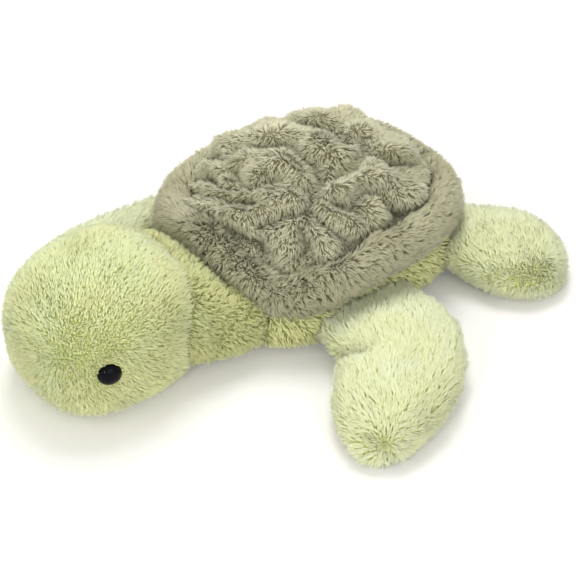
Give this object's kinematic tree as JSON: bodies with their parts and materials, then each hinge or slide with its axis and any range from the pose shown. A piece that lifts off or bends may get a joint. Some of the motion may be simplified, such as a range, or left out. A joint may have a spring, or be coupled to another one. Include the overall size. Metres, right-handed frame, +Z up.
{
  "type": "plush turtle",
  "caption": "Stuffed turtle soft toy lying on its belly: quilted shell with a padded rim, a head that turns and nods, and flippers that lift.",
  "frame": {"origin": "middle of the footprint on the floor, under the belly", "axes": "+Z up; the turtle faces -Y; +X is the side of its left flippers"},
  "size_m": [0.2916, 0.342, 0.087],
  "materials": {
    "plush_green": "long-pile plush",
    "plush_pale_green": "long-pile plush",
    "plush_shade_green": "long-pile plush",
    "plush_shell_brown": "long-pile plush, quilted",
    "plush_rim_brown": "long-pile plush",
    "filling": "loose fibre",
    "eye_black": "polished",
    "washer_white": "moulded"
  },
  "bodies": {
    "torso": {"body_cover": "plush_shade_green", "body_stuffing": "filling", "shell_cover": "plush_shell_brown", "shell_wadding": "filling", "rim_cover": "plush_rim_brown", "rim_wadding": "filling"},
    "neck": {"neck_cover": "plush_shade_green", "neck_stuffing": "filling"},
    "head": {"head_cover": "plush_green", "head_stuffing": "filling", "eye_left": "eye_black", "eye_right": "eye_black", "eye_washer_left": "washer_white", "eye_washer_right": "washer_white"},
    "front_flipper_left": {"front_flipper_left_cover": "plush_pale_green", "front_flipper_left_stuffing": "filling"},
    "front_flipper_right": {"front_flipper_right_cover": "plush_pale_green", "front_flipper_right_stuffing": "filling"},
    "rear_flipper_left": {"rear_flipper_left_cover": "plush_pale_green", "rear_flipper_left_stuffing": "filling"},
    "rear_flipper_right": {"rear_flipper_right_cover": "plush_pale_green", "rear_flipper_right_stuffing": "filling"}
  },
  "joints": [
    {"name": "head_turn", "type": "hinge", "parent": "torso", "child": "neck", "pos_m": [-0.02925, -0.045, 0.022], "axis": [0, 0, 1], "range_deg": [0, 20], "stiffness_Nm_per_rad": 0.03},
    {"name": "head_nod", "type": "hinge", "parent": "neck", "child": "head", "pos_m": [-0.02925, -0.075, 0.032], "axis": [-1, 0, 0], "range_deg": [0, 20], "stiffness_Nm_per_rad": 0.03},
    {"name": "front_flipper_left_lift", "type": "hinge", "parent": "torso", "child": "front_flipper_left", "pos_m": [0.04725, 0.025, 0.026], "axis": [0, -1, 0], "range_deg": [0, 30], "stiffness_Nm_per_rad": 0.02},
    {"name": "front_flipper_right_lift", "type": "hinge", "parent": "torso", "child": "front_flipper_right", "pos_m": [-0.09925, -0.006, 0.026], "axis": [-0.4067, 0.9135, 0], "range_deg": [0, 20], "stiffness_Nm_per_rad": 0.02},
    {"name": "rear_flipper_left_lift", "type": "hinge", "parent": "torso", "child": "rear_flipper_left", "pos_m": [0.03125, 0.1185, 0.025], "axis": [0.5878, -0.809, 0], "range_deg": [0, 25], "stiffness_Nm_per_rad": 0.02},
    {"name": "rear_flipper_right_lift", "type": "hinge", "parent": "torso", "child": "rear_flipper_right", "pos_m": [-0.09925, 0.097, 0.025], "axis": [0.2588, 0.9659, 0], "range_deg": [0, 20], "stiffness_Nm_per_rad": 0.02}
  ]
}
